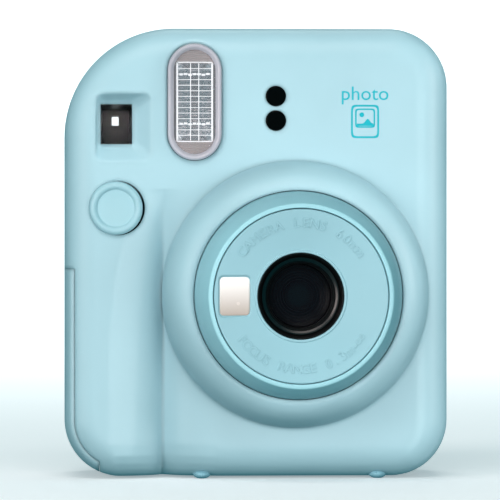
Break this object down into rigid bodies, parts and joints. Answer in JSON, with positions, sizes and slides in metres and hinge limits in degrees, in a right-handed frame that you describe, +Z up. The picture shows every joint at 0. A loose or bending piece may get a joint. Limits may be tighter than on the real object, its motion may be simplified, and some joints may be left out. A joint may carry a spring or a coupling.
{
  "type": "instant camera",
  "caption": "Rounded plastic instant film camera with a turning lens ring, flash, viewfinder, grip, film door and motor-driven film rollers.",
  "frame": {"origin": "centre of the bounding box at the foot plane, lens ring at ON", "axes": "+Z up along the camera's height, -Y the way the lens looks, +X to the viewer's right"},
  "size_m": [0.104, 0.0736, 0.122],
  "materials": {
    "blue_casing": "satin",
    "blue_ring": "satin",
    "black_plastic": "matte",
    "grey_plastic": "matte",
    "white_plastic": "satin",
    "clear_plastic": "polished",
    "dark_window": "polished",
    "lens_glass": "coated",
    "mirror_coat": "polished",
    "reflector_coat": "polished",
    "steel": "plain",
    "spring_steel": "polished",
    "brass": "plain",
    "foam": "matte",
    "roller_rubber": "matte",
    "blue_rubber": "matte",
    "board_green": "solder mask",
    "cell_skin": "printed sleeve",
    "capacitor_skin": "shrink sleeve",
    "gear_plastic": "satin",
    "lacquered_coil": "lacquer"
  },
  "bodies": {
    "camera_body": {"front_cover": "blue_casing", "rear_cover": "blue_casing", "feet": "blue_rubber", "case_screws": "steel", "strap_bar": "steel", "chassis": "black_plastic", "light_cone": "black_plastic", "guide_tube": "black_plastic", "roller_bracket": "grey_plastic", "roller_springs": "spring_steel", "motor": "steel", "flash_lens": "clear_plastic", "flash_frame": "white_plastic", "flash_reflector": "reflector_coat", "xenon_tube": "lens_glass", "flash_capacitor": "capacitor_skin", "flash_transformer": "lacquered_coil", "sensor_windows": "dark_window", "photo_sensors": "black_plastic", "main_board": "board_green", "viewfinder_window": "clear_plastic", "viewfinder_tube": "black_plastic", "viewfinder_lens": "lens_glass", "viewfinder_eyepiece": "lens_glass", "button_switch": "grey_plastic", "battery_holder": "black_plastic", "battery_cells": "cell_skin", "battery_contacts": "spring_steel", "latch_spring": "spring_steel", "counter_window": "clear_plastic", "door_seal": "foam", "door_pin": "steel", "cover_pin": "steel"},
    "lens_unit": {"lens_barrel": "black_plastic", "front_plate": "blue_ring", "selfie_mirror": "mirror_coat", "lens_hood": "black_plastic", "front_lens": "lens_glass", "rear_lens": "lens_glass", "shutter_base": "grey_plastic", "shutter_solenoid": "lacquered_coil"},
    "lens_ring_body": {"lens_ring": "blue_ring"},
    "left_blade": {"blade_left": "black_plastic"},
    "right_blade": {"blade_right": "black_plastic"},
    "shutter": {"shutter_blade": "black_plastic"},
    "button": {"shutter_button": "blue_ring", "button_spring": "spring_steel"},
    "back_door": {"film_door": "blue_casing", "film_window": "clear_plastic", "pack_springs": "spring_steel"},
    "latch": {"door_latch": "grey_plastic"},
    "battery_door": {"battery_cover": "blue_casing"},
    "flap": {"exit_flap": "black_plastic"},
    "drive": {"drive_gear": "gear_plastic"},
    "pinion": {"motor_pinion": "brass"},
    "roller_front": {"front_roller": "roller_rubber"},
    "roller_rear": {"rear_roller": "roller_rubber"},
    "claw": {"film_claw": "spring_steel"},
    "counter": {"counter_dial": "white_plastic"}
  },
  "joints": [
    {"name": "lens_slide", "type": "slide", "parent": "camera_body", "child": "lens_unit", "axis": [0, 1, 0], "range_m": [-0.00233, 0.007]},
    {"name": "lens_ring_turn", "type": "hinge", "parent": "lens_unit", "child": "lens_ring_body", "pos_m": [0.0103, -0.025, 0.05], "axis": [0, 1, 0], "range_deg": [-20, 60]},
    {"name": "left_blade_turn", "type": "hinge", "parent": "lens_unit", "child": "left_blade", "pos_m": [0.0083, -0.0306, 0.033], "axis": [0, 1, 0], "range_deg": [-10.6, 31.6]},
    {"name": "right_blade_turn", "type": "hinge", "parent": "lens_unit", "child": "right_blade", "pos_m": [0.0123, -0.0306, 0.033], "axis": [0, 1, 0], "range_deg": [-31.6, 10.6]},
    {"name": "shutter_swing", "type": "hinge", "parent": "lens_unit", "child": "shutter", "pos_m": [0.0193, -0.0189, 0.044], "axis": [0, 1, 0], "range_deg": [0, 40], "stiffness_Nm_per_rad": 0.0005},
    {"name": "button_press", "type": "slide", "parent": "camera_body", "child": "button", "axis": [0, 1, 0], "range_m": [0, 0.0015], "stiffness_N_per_m": 800},
    {"name": "film_door_hinge", "type": "hinge", "parent": "camera_body", "child": "back_door", "pos_m": [0.0508, 0.0305, 0.05], "axis": [0, 0, -1], "range_deg": [0, 100]},
    {"name": "latch_slide", "type": "slide", "parent": "camera_body", "child": "latch", "axis": [0, 0, 1], "range_m": [0, 0.003], "stiffness_N_per_m": 400, "deforming": ["latch_spring"]},
    {"name": "battery_door_hinge", "type": "hinge", "parent": "camera_body", "child": "battery_door", "pos_m": [-0.0508, 0.026, 0.035], "axis": [0, 0, -1], "range_deg": [0, 95]},
    {"name": "exit_flap_hinge", "type": "hinge", "parent": "camera_body", "child": "flap", "pos_m": [0.0103, 0.024, 0.118], "axis": [-1, 0, 0], "range_deg": [0, 40], "stiffness_Nm_per_rad": 0.002},
    {"name": "drive_gear_spin", "type": "hinge", "parent": "camera_body", "child": "drive", "pos_m": [0.0454, 0.0141, 0.10038], "axis": [1, 0, 0], "continuous": true},
    {"name": "motor_pinion_spin", "type": "hinge", "parent": "camera_body", "child": "pinion", "pos_m": [0.0454, 0.0041, 0.10038], "axis": [1, 0, 0], "continuous": true},
    {"name": "front_roller_spin", "type": "hinge", "parent": "camera_body", "child": "roller_front", "pos_m": [0.0103, 0.0183, 0.11], "axis": [1, 0, 0], "continuous": true},
    {"name": "rear_roller_spin", "type": "hinge", "parent": "camera_body", "child": "roller_rear", "pos_m": [0.0103, 0.0243, 0.11], "axis": [1, 0, 0], "continuous": true},
    {"name": "film_claw_slide", "type": "slide", "parent": "camera_body", "child": "claw", "axis": [0, 0, 1], "range_m": [0, 0.006], "stiffness_N_per_m": 100},
    {"name": "counter_dial_spin", "type": "hinge", "parent": "camera_body", "child": "counter", "pos_m": [-0.037, 0.0331, 0.077], "axis": [0, 1, 0], "continuous": true}
  ],
  "couplings": [
    {"joint": "lens_ring_turn", "follows": "lens_slide", "rad_per_m": 149.59},
    {"joint": "left_blade_turn", "follows": "lens_slide", "rad_per_m": 78.54},
    {"joint": "right_blade_turn", "follows": "lens_slide", "rad_per_m": -78.54},
    {"joint": "motor_pinion_spin", "follows": "drive_gear_spin", "ratio": -3},
    {"joint": "front_roller_spin", "follows": "drive_gear_spin", "ratio": -2.5},
    {"joint": "rear_roller_spin", "follows": "drive_gear_spin", "ratio": 2.5}
  ]
}
